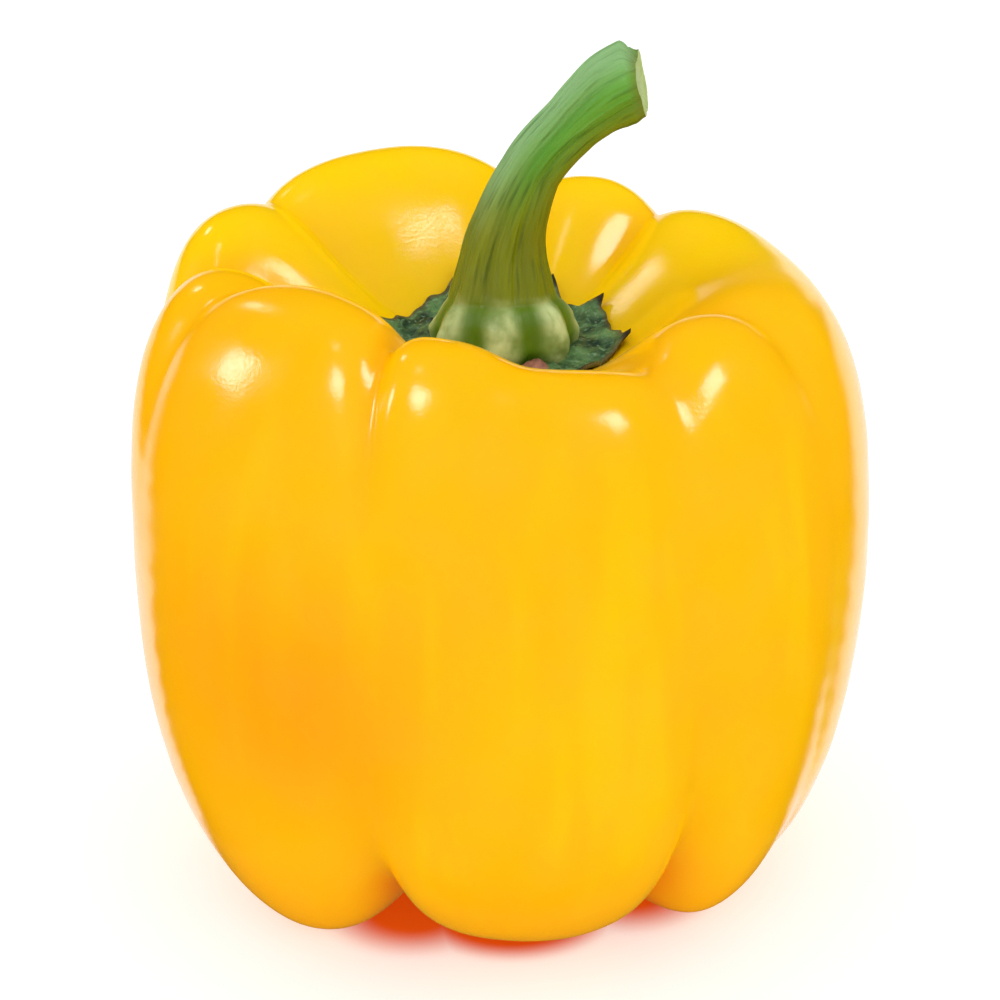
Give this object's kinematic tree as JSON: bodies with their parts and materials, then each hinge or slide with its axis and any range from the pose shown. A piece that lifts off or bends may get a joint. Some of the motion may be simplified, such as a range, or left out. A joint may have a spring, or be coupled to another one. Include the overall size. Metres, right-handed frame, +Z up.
{
  "type": "bell pepper",
  "caption": "Whole bell pepper standing on its lobes, with a toothed calyx in its cup and a bent, cut stem.",
  "frame": {"origin": "middle of the bounding box, on the surface that the pepper stands on", "axes": "+Z up along the pepper's core, +X to the side that the stem bends to, -Y towards the front of the picture"},
  "size_m": [0.085, 0.0844, 0.0994],
  "materials": {
    "skin": "waxy gloss of a ripe pepper's skin",
    "calyx": "wrinkled satin plant tissue",
    "stem": "satin green stalk with a paler cut end"
  },
  "bodies": {
    "root": {"fruit": "skin", "calyx": "calyx", "stem": "stem"}
  },
  "joints": []
}
